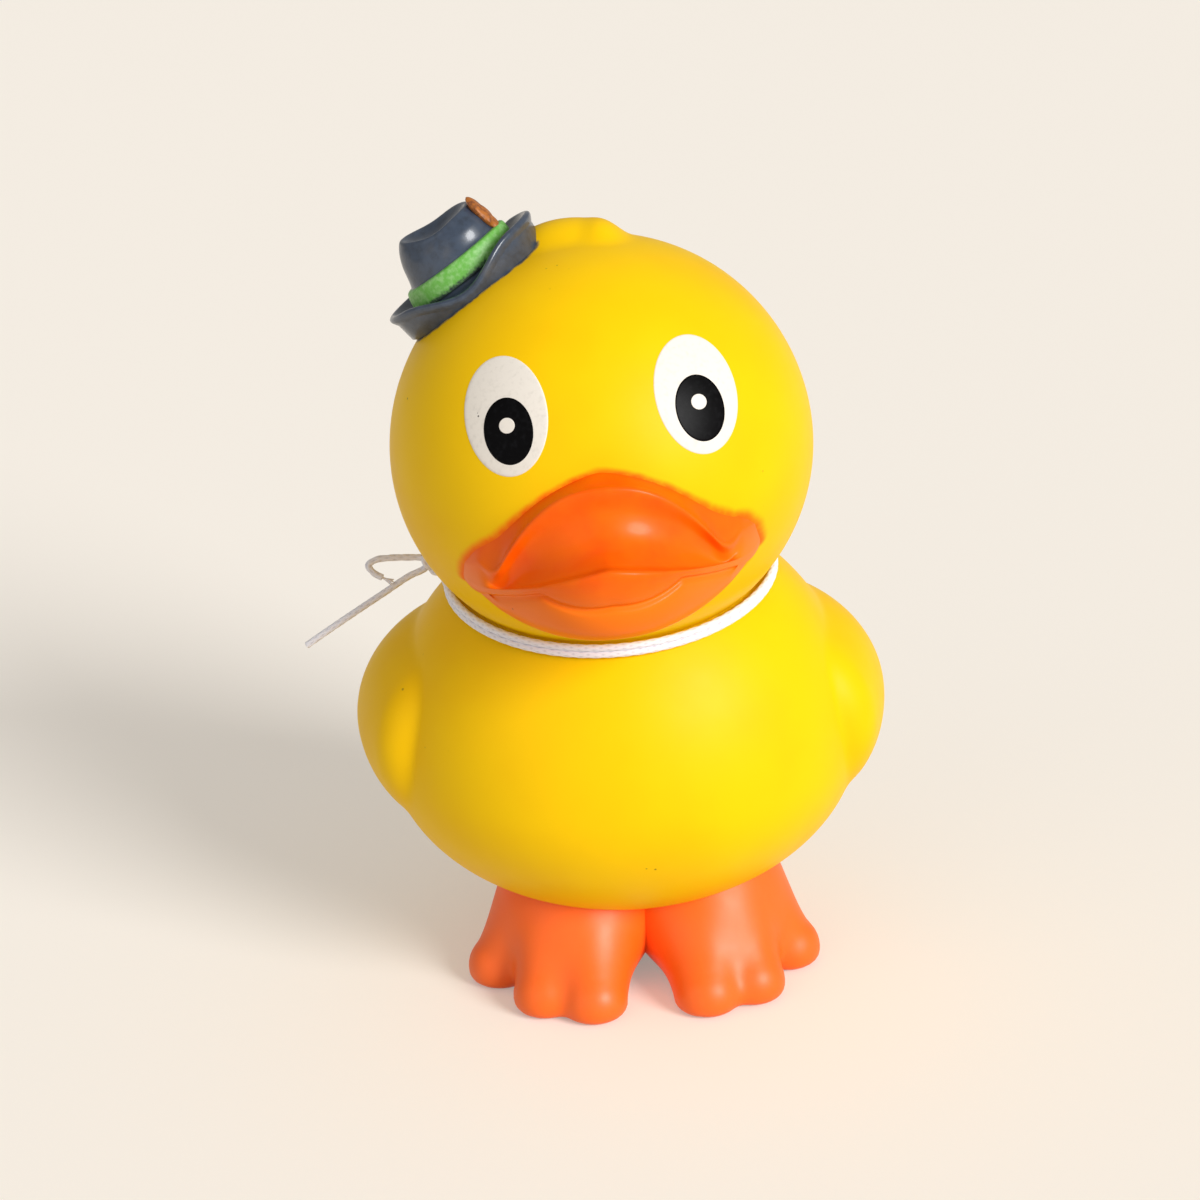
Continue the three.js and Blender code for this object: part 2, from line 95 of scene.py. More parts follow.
class DuckSizes(bpy.types.PropertyGroup):
    """Sizes of the moulding and the cord."""

    body_half_width: size_prop("Body half width", "Half the body's width without wings", 25.8)
    body_half_depth: size_prop("Body half depth", "Half the body's depth without the tail", 24.0)
    body_below: size_prop("Body below", "Widest level down to the belly", 17.9)
    body_above: size_prop("Body above", "Widest level up to the top", 26.0)
    belly_clearance: size_prop("Belly clearance", "Height of the belly above the ground", 7.4)
    wing_proud: size_prop("Wing proud", "How far a wing stands out", 3.2)
    wing_half_length: size_prop("Wing half length", "Half the length of a wing", 15.0)
    tail_length: size_prop("Tail length", "Half the length of the tail", 9.0)
    head_radius: size_prop("Head radius", "Radius of the head", 22.0)
    head_below: size_prop("Head below", "Head's centre down to the chin", 21.2)
    head_sink: size_prop("Head sink", "How deep the head sits in the body", 13.3)
    head_forward: size_prop("Head forward", "How far the head is ahead of the body", 4.0)
    head_cock: angle_prop("Head cock", "Tilt of the head towards the hat", 4.5)
    tuft_height: size_prop("Tuft height", "Height of the tuft on the head", 2.5)
    tuft_half_length: size_prop("Tuft half length", "Half the length of the tuft", 5.2)
    beak_half_width: size_prop("Beak half width", "Middle of the beak to a corner", 15.6)
    beak_reach: size_prop("Beak reach", "How far the beak stands out", 9.0)
    beak_top: size_prop("Beak top", "Top above the head's centre", 4.4)
    beak_turn: angle_prop("Beak turn", "Turn of the beak to one side", -2.5)
    beak_ridge_back: size_prop("Ridge back", "Tip of the beak back to its ridge", 6.5)
    beak_lip_drop: size_prop("Lip drop", "Upper lip below the head's centre", 2.0)
    beak_underside: size_prop("Beak underside", "Underside below the head's centre", 11.0)
    beak_dish: size_prop("Beak dish", "Depth of the hollow on the upper beak", 2.7)
    beak_tip_face: size_prop("Tip face", "Height of the face at the beak's tip", 3.8)
    beak_tip_face_half_width: size_prop("Tip face half width", "Half the width of that face", 6.8)
    mouth_groove: size_prop("Mouth groove", "Depth of the mouth line", 0.5)
    hat_brim_radius: size_prop("Hat brim radius", "Middle of the hat to the brim's edge", 9.0)
    hat_brim_curl: size_prop("Hat brim curl", "Rise of the brim at its two ends", 1.8)
    hat_crown_radius: size_prop("Hat crown radius", "Radius of the crown at the band", 6.0)
    hat_crown_top_radius: size_prop("Hat crown top radius", "Radius of the crown at its top", 4.2)
    hat_crown_height: size_prop("Hat crown height", "Height of the crown", 7.0)
    hat_band_height: size_prop("Hat band height", "Height of the hat's band", 2.0)
    toe_radius: size_prop("Toe radius", "Radius of a toe at its tip", 3.6)
    instep_radius: size_prop("Instep radius", "Radius of the foot under the body", 8.6)
    instep_spread: size_prop("Instep spread", "Middle of the duck to that of a foot", 6.6)
    instep_forward: size_prop("Instep forward", "Instep ahead of the body's middle", 5.0)
    foot_length: size_prop("Foot length", "Length that places the toes and the heel", 18.0)
    eye_half_width: size_prop("Eye half width", "Half the width of an eye's white", 4.1)
    eye_half_height: size_prop("Eye half height", "Half the height of an eye's white", 6.0)
    pupil_half_width: size_prop("Pupil half width", "Half the width of a pupil", 2.45)
    pupil_half_height: size_prop("Pupil half height", "Half the height of a pupil", 3.35)
    eye_dot_radius: size_prop("Eye dot radius", "Radius of the white dot in a pupil", 0.78)
    cord_diameter: size_prop("Cord diameter", "Diameter of the neck cord", 0.7)


class DuckColours(bpy.types.PropertyGroup):
    """Colours of the finishes, in the order of the pieces."""

    vinyl: colour_prop("Vinyl", "Moulded yellow vinyl", 252, 203, 0)
    vinyl_deep: colour_prop("Vinyl deep", "Deeper yellow in its clouding", 248, 194, 0)
    beak: colour_prop("Beak", "Orange paint of the beak", 255, 107, 0)
    beak_deep: colour_prop("Beak deep", "Thicker orange paint in hollows", 250, 86, 0)
    # Painted light: a lighter orange on the lower bill that stands in for the light falling on it.
    beak_painted_light: colour_prop("Beak painted light", "Lighter orange on the lower bill as painted light", 255, 122, 14)
    feet: colour_prop("Feet", "Orange paint of the feet", 255, 108, 26)
    hat: colour_prop("Hat", "Slate paint of the hat", 58, 70, 88)
    band: colour_prop("Band", "Green paint of the hat's band", 104, 178, 70)
    feather: colour_prop("Feather", "Brown paint of the feather", 178, 104, 36)
    eye_white: colour_prop("Eye white", "Printed white of the eyes", 238, 230, 219)
    pupil: colour_prop("Pupil", "Printed black of the eyes", 4, 3, 4)
    cord: colour_prop("Cord", "White braid of the neck cord", 243, 241, 247)
    floor: colour_prop("Floor", "Pale floor", 244, 237, 227)


# Shared measures, in millimetres


HAT_AXIS = Vector((-0.511, 0.13, 0.85))


class Measures:
    """The sizes in millimetres, and the places that follow from them."""

    def __init__(self, sizes):
        for name in DuckSizes.__annotations__:
            setattr(self, name, getattr(sizes, name) / MM)
        self.head_cock = sizes.head_cock
        self.beak_turn = sizes.beak_turn
        self.body_centre = np.array((0.0, 0.0, self.belly_clearance + self.body_below))
        head_level = self.body_centre[2] + self.body_above + self.head_radius - self.head_sink
        self.head_centre = np.array((0.0, -self.head_forward, head_level))
        self.neck_level = head_level - 0.7 * self.head_radius
        beak_tip = -self.head_forward - self.head_radius - self.beak_reach
        self.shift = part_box(DUCK_NODE)[0].y / MM - beak_tip

    def duck_pose(self):
        """Places what is made in the duck's own frame."""
        return Matrix.Translation((0.0, self.shift * MM, 0.0))

    def head_pose(self):
        """Places what is made around the head's centre."""
        neck = Vector((0.0, 0.0, self.neck_level))
        centre = Vector(self.head_centre)
        turn = Matrix.Rotation(-self.head_cock, 4, "Y")
        to_neck, to_centre = Matrix.Translation(neck * MM), Matrix.Translation((centre - neck) * MM)
        return self.duck_pose() @ to_neck @ turn @ to_centre

    def hat_pose(self):
        """Places what is made around the point where the hat's axis leaves the head."""
        axis = HAT_AXIS.normalized()
        across = Vector((0.0, 1.0, 0.0)).cross(axis).normalized()
        along = axis.cross(across)
        turn = Matrix((across, along, axis)).transposed().to_4x4()
        return self.head_pose() @ Matrix.Translation(axis * self.head_radius * MM) @ turn


def measures():
    return Measures(bpy.context.scene.duck_sizes)


def colours():
    return bpy.context.scene.duck_colours


# Rounded forms as fields: negative inside, zero on the surface


def egg(points, centre, radii, above=None):
    offset = points - np.asarray(centre)
    reach = np.tile(np.asarray(radii, float), (len(points), 1))
    if above is not None:
        reach[offset[:, 2] > 0, 2] = above
    unit = offset / reach
    span = np.linalg.norm(unit, axis=1)
    slope = np.linalg.norm(unit / reach, axis=1)
    return span * (span - 1) / np.maximum(slope, 1e-9)


def tapered_rod(points, start, end, start_radius, end_radius):
    run = np.asarray(end) - np.asarray(start)
    along = np.clip((points - start) @ run / (run @ run), 0, 1)
    gap = np.linalg.norm(points - start - along[:, None] * run, axis=1)
    return gap - start_radius - along * (end_radius - start_radius)


def blended(radius, *fields):
    joined = fields[0]
    for field in fields[1:]:
        overlap = np.maximum(radius - np.abs(joined - field), 0) / radius
        joined = np.minimum(joined, field) - overlap**2 * radius / 4
    return joined


def smooth_step(values, low, high):
    t = np.clip((values - low) / (high - low), 0, 1)
    return t * t * (3 - 2 * t)


def tilted(points, pivot, angle):
    """The points as seen by a form that is turned up about X at the pivot."""
    x, y, z = (points - np.asarray(pivot)).T
    c, s = math.cos(angle), math.sin(angle)
    return np.column_stack((x, c * y + s * z, c * z - s * y)) + pivot


# Places count from the body's centre
WING_BACK, WING_RISE = 4.0, 3.0
WING_SWELL, WING_BELOW, WING_ABOVE = 12.0, 12.0, 11.8
WING_FADE, OUTLINE_BELOW, OUTLINE_ABOVE = 6.0, 17.0, 20.8
WING_EDGE_ROUND, WING_CREASE = 3.0, 0.4
TIP_INSET, TIP_DROP, TIP_TURN, TIP_BLEND = 8.0, 3.0, 0.1, 6.0
TIP_RADII = (4.5, 9.5, 5.5)
TAIL_INSET, TAIL_RISE, TAIL_TURN, TAIL_BLEND = 3.0, 7.0, 0.6, 8.0
TAIL_HALF_WIDTH, TAIL_HALF_THICKNESS = 9.0, 4.5


def wing_field(points, m, side):
    """A swelling with a rounded front edge that follows the body backwards, and a tip at the back."""
    x = side * (m.body_half_width + m.wing_proud - WING_SWELL)
    z = m.body_centre[2] + WING_RISE
    behind = np.clip(points[:, 1] / m.body_half_depth, 0, 0.95)
    hugged = points.copy()
    hugged[:, 0] += side * m.body_half_width * (1 - np.sqrt(1 - behind**2))
    radii = (WING_SWELL, m.wing_half_length + WING_FADE, WING_BELOW)
    swelling = egg(hugged, (x, WING_BACK, z), radii, WING_ABOVE)
    flat = points * (0, 1, 1)
    outline = egg(flat, (0, WING_BACK, z), (1, m.wing_half_length, OUTLINE_BELOW), OUTLINE_ABOVE)
    pad = -blended(WING_EDGE_ROUND, -swelling, -outline)
    centre = (side * (m.body_half_width - TIP_INSET), WING_BACK + 0.5 * m.wing_half_length, z - TIP_DROP)
    return blended(TIP_BLEND, pad, egg(tilted(points, centre, TIP_TURN), centre, TIP_RADII))


def trunk_field(points, m):
    barrel = egg(points, m.body_centre, (m.body_half_width, m.body_half_depth, m.body_below), m.body_above)
    centre = (0.0, m.body_half_depth - TAIL_INSET, m.body_centre[2] + TAIL_RISE)
    radii = (TAIL_HALF_WIDTH, m.tail_length, TAIL_HALF_THICKNESS)
    rump = blended(TAIL_BLEND, barrel, egg(tilted(points, centre, TAIL_TURN), centre, radii))
    return blended(WING_CREASE, rump, wing_field(points, m, -1), wing_field(points, m, 1))


def head_field(points, m):
    return egg(points, (0, 0, 0), (m.head_radius, m.head_radius, m.head_below), m.head_radius)


TUFT_BACK, TUFT_FOOT, TUFT_CREASE = 0.15, 2.2, 0.6


def head_and_tuft_field(points, m):
    """The head with a tuft of two rounded locks."""
    back = TUFT_BACK * m.head_radius
    level = math.sqrt(m.head_radius**2 - back**2)
    sweep = egg(points, (-1.0, back, level - 0.7), (m.tuft_half_length, 3.2, m.tuft_height))
    curl = egg(points, (0.42 * m.tuft_half_length, back - 0.8, level - 0.8), (2.2, 2.9, m.tuft_height - 0.1))
    return blended(TUFT_FOOT, head_field(points, m), blended(TUFT_CREASE, sweep, curl))


# How far each toe goes out and forward, in foot lengths
TOES = ((-0.03, 0.65), (0.25, 0.54), (0.51, 0.14))
TOE_LEVEL, HEEL_BACK = 0.45, 0.3
SOLE_ROUND, FEET_ASIDE = 0.6, 1.0
INSTEP_SUNK, INSTEP_BLEND, TOE_CREASE = 1.2, 4.0, 1.5
HEEL_LEVEL, HEEL_RADIUS = 3.5, 4.5


def foot_field(points, m, side):
    """Toes and a heel that spread from the instep, cut by the ground."""
    level = m.instep_radius - INSTEP_SUNK
    instep = np.array((side * m.instep_spread + FEET_ASIDE, -m.instep_forward, level))
    toes = []
    for out, forward in TOES:
        tip = instep + (side * out * m.foot_length, -forward * m.foot_length, 0.0)
        tip[2] = TOE_LEVEL * m.toe_radius
        toes.append(tapered_rod(points, instep + (0.0, 0.0, 2.0), tip, m.instep_radius - 1.6, m.toe_radius))
    heel_end = np.array((instep[0], HEEL_BACK * m.foot_length, HEEL_LEVEL))
    heel = tapered_rod(points, instep, heel_end, m.instep_radius, HEEL_RADIUS)
    foot = blended(INSTEP_BLEND, blended(TOE_CREASE, *toes), heel)
    return -blended(2 * SOLE_ROUND, -foot, points[:, 2])


# Meshes


def new_piece(name, vertices, faces, pose, slot, nodes, *paints):
    """Makes a mesh in millimetres, puts it in its pose, and ties it to the body that it rides on."""
    mesh = bpy.data.meshes.new(name)
    mesh.from_pydata((np.asarray(vertices) * MM).tolist(), [], [list(face) for face in faces])
    mesh.validate()
    mesh.shade_smooth()
    for paint in paints:
        mesh.materials.append(paint)
    piece = bpy.data.objects.new(name, mesh)
    bpy.context.scene.collection.objects.link(piece)
    piece.matrix_world = pose
    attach(piece, BODY)
    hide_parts(*nodes)
    return piece


def merged(parts):
    """Puts several lists of vertices and faces into one."""
    faces, first = [], 0
    for points, quads in parts:
        faces += [[first + i for i in quad] for quad in quads]
        first += len(points)
    return np.vstack([points for points, _ in parts]), faces


def outward(piece):
    """Turns every face of a closed piece to the outside."""
    shape = bmesh.new()
    shape.from_mesh(piece.data)
    bmesh.ops.recalc_face_normals(shape, faces=shape.faces)
    shape.to_mesh(piece.data)
    shape.free()


def unit_ball(subdivisions):
    ball = bmesh.new()
    bmesh.ops.create_icosphere(ball, subdivisions=subdivisions, radius=1.0)
    ball.verts.ensure_lookup_table()
    vertices = np.array([vert.co[:] for vert in ball.verts])
    faces = [[vert.index for vert in face.verts] for face in ball.faces]
    ball.free()
    return vertices / np.linalg.norm(vertices, axis=1)[:, None], faces


BISECTIONS = 44
SKIN_DETAIL, FOOT_DETAIL, FEATHER_DETAIL = 7, 6, 5


def skin(field, seed, subdivisions, reach):
    """Follows every direction from a seed inside out to the zero of the field."""
    rays, faces = unit_ball(subdivisions)
    inside = np.zeros(len(rays))
    outside = np.full(len(rays), reach)
    for _ in range(BISECTIONS):
        middle = (inside + outside) / 2
        within = field(np.asarray(seed) + middle[:, None] * rays) < 0
        inside = np.where(within, middle, inside)
        outside = np.where(within, outside, middle)
    return np.asarray(seed) + inside[:, None] * rays, faces


def grid_faces(rows, columns, closed_rows=False):
    """Quads of a grid of vertices that is kept row by row; each row is a closed ring."""
    row, column = np.mgrid[: rows if closed_rows else rows - 1, :columns].reshape(2, -1)
    ahead, beside = (row + 1) % rows, (column + 1) % columns
    corners = ((row, column), (row, beside), (ahead, beside), (ahead, column))
    return np.column_stack([r * columns + c for r, c in corners]).tolist()


def ring_angles(count):
    return np.linspace(0, 2 * math.pi, count, endpoint=False)


def end_caps(rows, columns):
    """Faces that close the first and the last ring of such a grid."""
    last = (rows - 1) * columns
    return [list(range(columns)), list(range(last, last + columns))]


def smooth_loop(stations, per_span, closed=True):
    """Centripetal Catmull-Rom curve through the stations, sampled evenly within each span."""
    points = np.asarray(stations, float)
    if not closed:
        first, last = 2 * points[0] - points[1], 2 * points[-1] - points[-2]
        points = np.vstack((first, points, last))
    count = len(points)
    spans = range(count) if closed else range(1, count - 2)
    share = np.linspace(0, 1, per_span, endpoint=False)[:, None]
    samples = []
    for k in spans:
        p0, p1, p2, p3 = (points[(k + step) % count] for step in (-1, 0, 1, 2))
        d0, d1, d2 = (max(np.linalg.norm(b - a), 1e-6) ** 0.5 for a, b in ((p0, p1), (p1, p2), (p2, p3)))
        t1 = ((p1 - p0) / d0 - (p2 - p0) / (d0 + d1) + (p2 - p1) / d1) * d1
        t2 = ((p2 - p1) / d1 - (p3 - p1) / (d1 + d2) + (p3 - p2) / d2) * d1
        bend = -3 * p1 + 3 * p2 - 2 * t1 - t2
        twist = 2 * p1 - 2 * p2 + t1 + t2
        samples.append(p1 + t1 * share + bend * share**2 + twist * share**3)
    if not closed:
        samples.append(points[-2][None, :])
    return np.vstack(samples)


def write_values(piece, name, values):
    """Keeps one number for each vertex as an attribute that paint can read."""
    piece.data.attributes.new(name, "FLOAT", "POINT").data.foreach_set("value", values)


def nearness(piece, other, name):
    """Writes each vertex's distance to another piece, in millimetres."""
    tree = KDTree(len(other.data.vertices))
    for vertex in other.data.vertices:
        tree.insert(other.matrix_world @ vertex.co, vertex.index)
    tree.balance()
    gaps = [tree.find(piece.matrix_world @ vertex.co)[2] / MM for vertex in piece.data.vertices]
    write_values(piece, name, gaps)


# Shaders


class Wire:
    """A value in a node tree that takes part in Python arithmetic."""

    def __init__(self, tree, socket):
        self.tree = tree
        self.socket = socket

    def maths(self, operation, first, second):
        return add_node(self.tree, "ShaderNodeMath", {"operation": operation}, {0: first, 1: second})

    def __add__(self, other):
        return self.maths("ADD", self, other)

    __radd__ = __add__

    def __sub__(self, other):
        return self.maths("SUBTRACT", self, other)

    def __rsub__(self, other):
        return self.maths("SUBTRACT", other, self)

    def __mul__(self, other):
        return self.maths("MULTIPLY", self, other)

    __rmul__ = __mul__


def add_node(tree, kind, settings=None, inputs=None, output=0):
    """Adds a node, sets it up, fills its sockets with values or links, and returns one output as a wire."""
    node = tree.nodes.new(kind)
    for name, value in (settings or {}).items():
        setattr(node, name, value)
    for name, value in (inputs or {}).items():
        socket = node.inputs[name]
        if isinstance(value, Wire):
            tree.links.new(value.socket, socket)
        else:
            socket.default_value = value
    return Wire(tree, node.outputs[output])


class Paint:
    """A material under construction: one Principled shader and the nodes that feed it."""

    def __init__(self, name, **uniform):
        self.material = bpy.data.materials.new(name)
        self.material.use_nodes = True
        self.tree = self.material.node_tree
        self.shader = self.tree.nodes["Principled BSDF"]
        for socket, value in uniform.items():
            self.shader.inputs[socket.replace("_", " ")].default_value = value

    def node(self, kind, settings=None, inputs=None, output=0):
        return add_node(self.tree, kind, settings, inputs, output)

    def place(self):
        """The surface point in the piece's own frame."""
        return self.node("ShaderNodeTexCoord", output="Object")

    def attribute(self, name):
        return self.node("ShaderNodeAttribute", {"attribute_name": name}, output="Fac")

    def noise(self, size, detail=2.0, rough=0.5):
        """Noise from 0 to 1 whose features are about that many millimetres across."""
        sockets = {"Vector": self.place(), "Scale": 1.0 / (size * MM), "Detail": detail, "Roughness": rough}
        return self.node("ShaderNodeTexNoise", None, sockets, output="Fac")

    def ramp(self, value, low, high):
        """Smooth step from 0 at low to 1 at high."""
        sockets = {"Value": value, "From Min": low, "From Max": high}
        return self.node("ShaderNodeMapRange", {"interpolation_type": "SMOOTHSTEP"}, sockets)

    def mix(self, share, first, second):
        """Mixes two colours."""
        sockets = {0: share, 6: first, 7: second}
        return self.node("ShaderNodeMix", {"data_type": "RGBA"}, sockets, output=2)

    def clouded(self, size, low, high, first, second):
        """Two colours in drifting clouds."""
        return self.mix(self.ramp(self.noise(size, 3.0), low, high), first, second)

    def specks(self, spacing, share):
        """Sparse small dots: 1 inside a dot."""
        sockets = {"Vector": self.place(), "Scale": 1.0 / (spacing * MM), "Randomness": 1.0}
        cells = self.node("ShaderNodeTexVoronoi", None, sockets, output="Distance")
        pick = self.noise(6.0 * spacing, 1.0)
        return (1 - self.ramp(cells, 0.04, 0.1)) * self.ramp(pick, 1 - share, 1 - 0.8 * share)

    def feed(self, socket, wire):
        self.tree.links.new(wire.socket, self.shader.inputs[socket])

    def bump(self, height, distance, strength):
        sockets = {"Height": height, "Distance": distance * MM, "Strength": strength}
        self.feed("Normal", self.node("ShaderNodeBump", None, sockets))

    def finished(self, colour, roughness):
        self.feed("Base Color", colour)
        self.feed("Roughness", roughness)
        return self.material


def vinyl_paint():
    tint = colours()
    paint = Paint("yellow_vinyl", Specular_IOR_Level=0.12)
    yellow = paint.clouded(14.0, 0.35, 0.8, tint.vinyl, tint.vinyl_deep)
    overspray = 1 - paint.ramp(paint.attribute("beak_gap") + 0.3 * paint.noise(2.2), 0.2, 0.85)
    yellow = paint.mix(overspray, yellow, tint.beak)
    slop = 1 - paint.ramp(paint.attribute("hat_gap") + 0.5 * paint.noise(1.1), 0.3, 0.7)
    yellow = paint.mix(slop, yellow, tint.hat)
    yellow = paint.mix(0.7 * paint.specks(2.0, 0.35), yellow, (0.05, 0.03, 0.01, 1.0))
    paint.bump(paint.noise(0.7), 0.02, 0.25)
    return paint.finished(yellow, 0.4 + 0.1 * paint.noise(3.0))


def beak_paint():
    tint = colours()
    paint = Paint("orange_beak_paint", Coat_Roughness=0.14, Specular_IOR_Level=0.15)
    orange = paint.clouded(5.0, 0.3, 0.85, tint.beak, tint.beak_deep)
    level = paint.node("ShaderNodeSeparateXYZ", None, {"Vector": paint.place()}, output="Z")
    # Painted light: the beak turns lighter orange towards the bottom of the lower bill.
    orange = paint.mix(1 - paint.ramp(level, -7.0 * MM, -3.0 * MM), orange, tint.beak_painted_light)
    orange = paint.mix(paint.specks(1.8, 0.36), orange, (0.12, 0.01, 0.0, 1.0))
    paint.feed("Coat Weight", 0.02 + 0.12 * paint.noise(4.0, 1.0))
    paint.bump(paint.noise(1.2), 0.03, 0.2)
    return paint.finished(orange, 0.34 + 0.1 * paint.noise(1.6))


def feet_paint():
    tint = colours()
    paint = Paint("orange_feet_paint", Subsurface_Weight=0.08, Subsurface_Scale=0.002, Specular_IOR_Level=0.5)
    orange = paint.clouded(6.0, 0.3, 0.9, tint.feet, tint.beak)
    paint.bump(paint.noise(0.8), 0.02, 0.25)
    return paint.finished(orange, 0.4 + 0.12 * paint.noise(2.0))


def hat_paint():
    tint = colours()
    paint = Paint("slate_hat_paint", Coat_Roughness=0.12, IOR=1.5)
    brushed = paint.noise(0.8, 4.0, 0.65)
    slate = paint.mix(0.5 * paint.ramp(brushed, 0.35, 0.75), tint.hat, (0.014, 0.018, 0.026, 1.0))
    slate = paint.mix(0.5 * paint.ramp(paint.noise(2.6), 0.55, 0.8), slate, (0.085, 0.088, 0.1, 1.0))
    paint.feed("Coat Weight", 0.25 + 0.2 * paint.noise(1.5))
    paint.bump(brushed, 0.04, 0.35)
    return paint.finished(slate, 0.22 + 0.2 * brushed)


def band_paint():
    tint = colours()
    paint = Paint("green_band_paint", IOR=1.5)
    fray = paint.attribute("band_height") + 0.35 * paint.noise(0.28)
    green = paint.clouded(0.5, 0.35, 0.75, tint.band, (0.26, 0.55, 0.17, 1.0))
    green = paint.mix(1 - paint.ramp(fray, 0.22, 0.5), green, (0.02, 0.035, 0.03, 1.0))
    paint.bump(paint.noise(0.25), 0.05, 0.4)
    return paint.finished(green, 0.34 + 0.25 * paint.noise(0.4))


def feather_paint():
    tint = colours()
    paint = Paint("brown_feather_paint", IOR=1.5)
    grain = paint.noise(0.5, 3.0)
    brown = paint.mix(paint.ramp(grain, 0.4, 0.7), tint.feather, (0.2, 0.06, 0.015, 1.0))
    paint.bump(grain, 0.05, 0.5)
    return paint.finished(brown, 0.4 + 0.2 * grain)


def eye_paint(name, tone, dirt, roughness):
    paint = Paint(name, Specular_IOR_Level=0.06)
    mottle = paint.noise(0.5, 3.0)
    ink = paint.mix(paint.ramp(mottle, 0.45, 0.9) * 0.5, tone, dirt)
    ink = paint.mix(paint.specks(1.3, 0.3), ink, (0.03, 0.02, 0.02, 1.0))
    return paint.finished(ink, roughness + 0.15 * mottle)


def cord_paint():
    tint = colours()
    paint = Paint("white_braid", IOR=1.45, Sheen_Weight=0.25, Sheen_Roughness=0.5)
    fibre = paint.noise(0.12)
    # Painted shade: the valleys between the braid's strands are darkened towards grey.
    braid_valley_shade = 1 - paint.ramp(paint.attribute("braid"), 0.0, 0.7)
    white = paint.mix(braid_valley_shade * 0.42, tint.cord, (0.45, 0.43, 0.5, 1.0))
    white = paint.mix(paint.ramp(fibre, 0.5, 0.8) * 0.2, white, (0.6, 0.58, 0.64, 1.0))
    paint.bump(fibre, 0.04, 0.4)
    return paint.finished(white, 0.7 + 0.2 * fibre)


# The floor's own glow is seen by the camera and in reflections only
FLOOR_GLOW, FLOOR_DIFFUSE = 0.32, 0.8


def floor_paint():
    tint = colours()
    paint = Paint("pale_floor", Roughness=0.9, Specular_IOR_Level=0.1)
    lit = tuple(FLOOR_DIFFUSE * value for value in tint.floor[:3]) + (1.0,)
    paint.feed("Base Color", paint.mix(paint.noise(60.0) * 0.04, lit, (0.66, 0.62, 0.56, 1.0)))
    rays = [paint.node("ShaderNodeLightPath", output=kind) for kind in ("Is Camera Ray", "Is Glossy Ray")]
    seen = rays[0] + rays[1]
    paint.feed("Emission Color", paint.mix(seen, (0.0, 0.0, 0.0, 1.0), tint.floor))
    paint.shader.inputs["Emission Strength"].default_value = FLOOR_GLOW
    return paint.material


# Pieces


# How the beak's edges fall and rise towards its corners, as seen in the photo
LIP_FALL, OUTLINE_FALL, EDGE_POWER = 6.2, 8.9, 1.35
RIDGE_FALL, RIDGE_POWER = 18.8, 2.35
UNDER_RISE, UNDER_POWER = 4.2, 2.4
HIGH_CORNER, CORNER_BLUNTNESS = 0.8, 12
ROOT_STATION, LIP_STATION, UNDER_STATION = 1, 7, 13


def beak_stations(share, m):
    """Section of the beak at a share of its half width, as forward and up from the head's centre."""
    a = abs(share)
    x = m.beak_half_width * a

    def on_head(z):
        return math.sqrt(max(m.head_radius**2 - x * x - z * z, 4.0))

    corner = math.sqrt(max(m.head_radius**2 - m.beak_half_width**2 - 36.0, 16.0)) + 0.4
    tip = m.head_radius + m.beak_reach
    lip_level = -m.beak_lip_drop - LIP_FALL * a**EDGE_POWER
    lip = np.array((corner + (tip - corner) * (1 - a * a) ** 1.1, lip_level))
    outline_top = m.beak_top - OUTLINE_FALL * (min(a, HIGH_CORNER) if share > 0 else a) ** EDGE_POWER
    root = np.array((on_head(outline_top + 0.5) - 1.4, outline_top + 0.5))
    dish = smooth_step(0.86 - a, 0.0, 0.2)
    rim = np.array((tip - m.beak_ridge_back * (1 + a * a), m.beak_top - 0.4 - RIDGE_FALL * a**RIDGE_POWER))
    shoulder = np.array((0.5 * (root[0] + lip[0]) + 0.9, 0.45 * root[1] + 0.55 * lip[1] + 0.4))
    ridge = shoulder + dish * (rim - shoulder)
    ridge_back = ridge + (-0.4 - 0.4 * dish, 0.5 - 0.3 * dish)

    def hollow(t, depth):
        return ridge + t * (lip - ridge) - depth * dish * m.beak_dish * 0.7

    lens = max(0.0, 1 - (x / m.beak_tip_face_half_width) ** 2)
    face = 0.6 + (m.beak_tip_face - 0.6) * lens
    under_level = -m.beak_underside + UNDER_RISE * a**UNDER_POWER
    under = np.array((corner + (tip - 5 - corner) * (1 - a * a), under_level))
    mouth = lip - (0.35 * face, face)
    rim_low = np.array((mouth[0] - 0.2, max(mouth[1] - 1.1, under[1] + 1.2)))
    chin = rim_low + (under - rim_low) * (0.45, 0.6) + (0.7 * (1 - a), 0.0)
    # From inside the head over ridge, hollow and lip, round the tip, and back under the chin
    over = [(8.0, root[1] - 1.5), root, ridge_back, ridge]
    over += [hollow(0.2, 0.7), hollow(0.5, 1.0), hollow(0.85, 0.5), lip]
    front = [lip - (0.05 + 0.1 * face, 0.55 * face), mouth, mouth - (m.mouth_groove, 0.45), rim_low]
    below = [chin, under, (on_head(under[1]) - 2.0, under[1] - 0.9), (8.0, under[1] + 0.5)]
    return np.array(over + front + below)


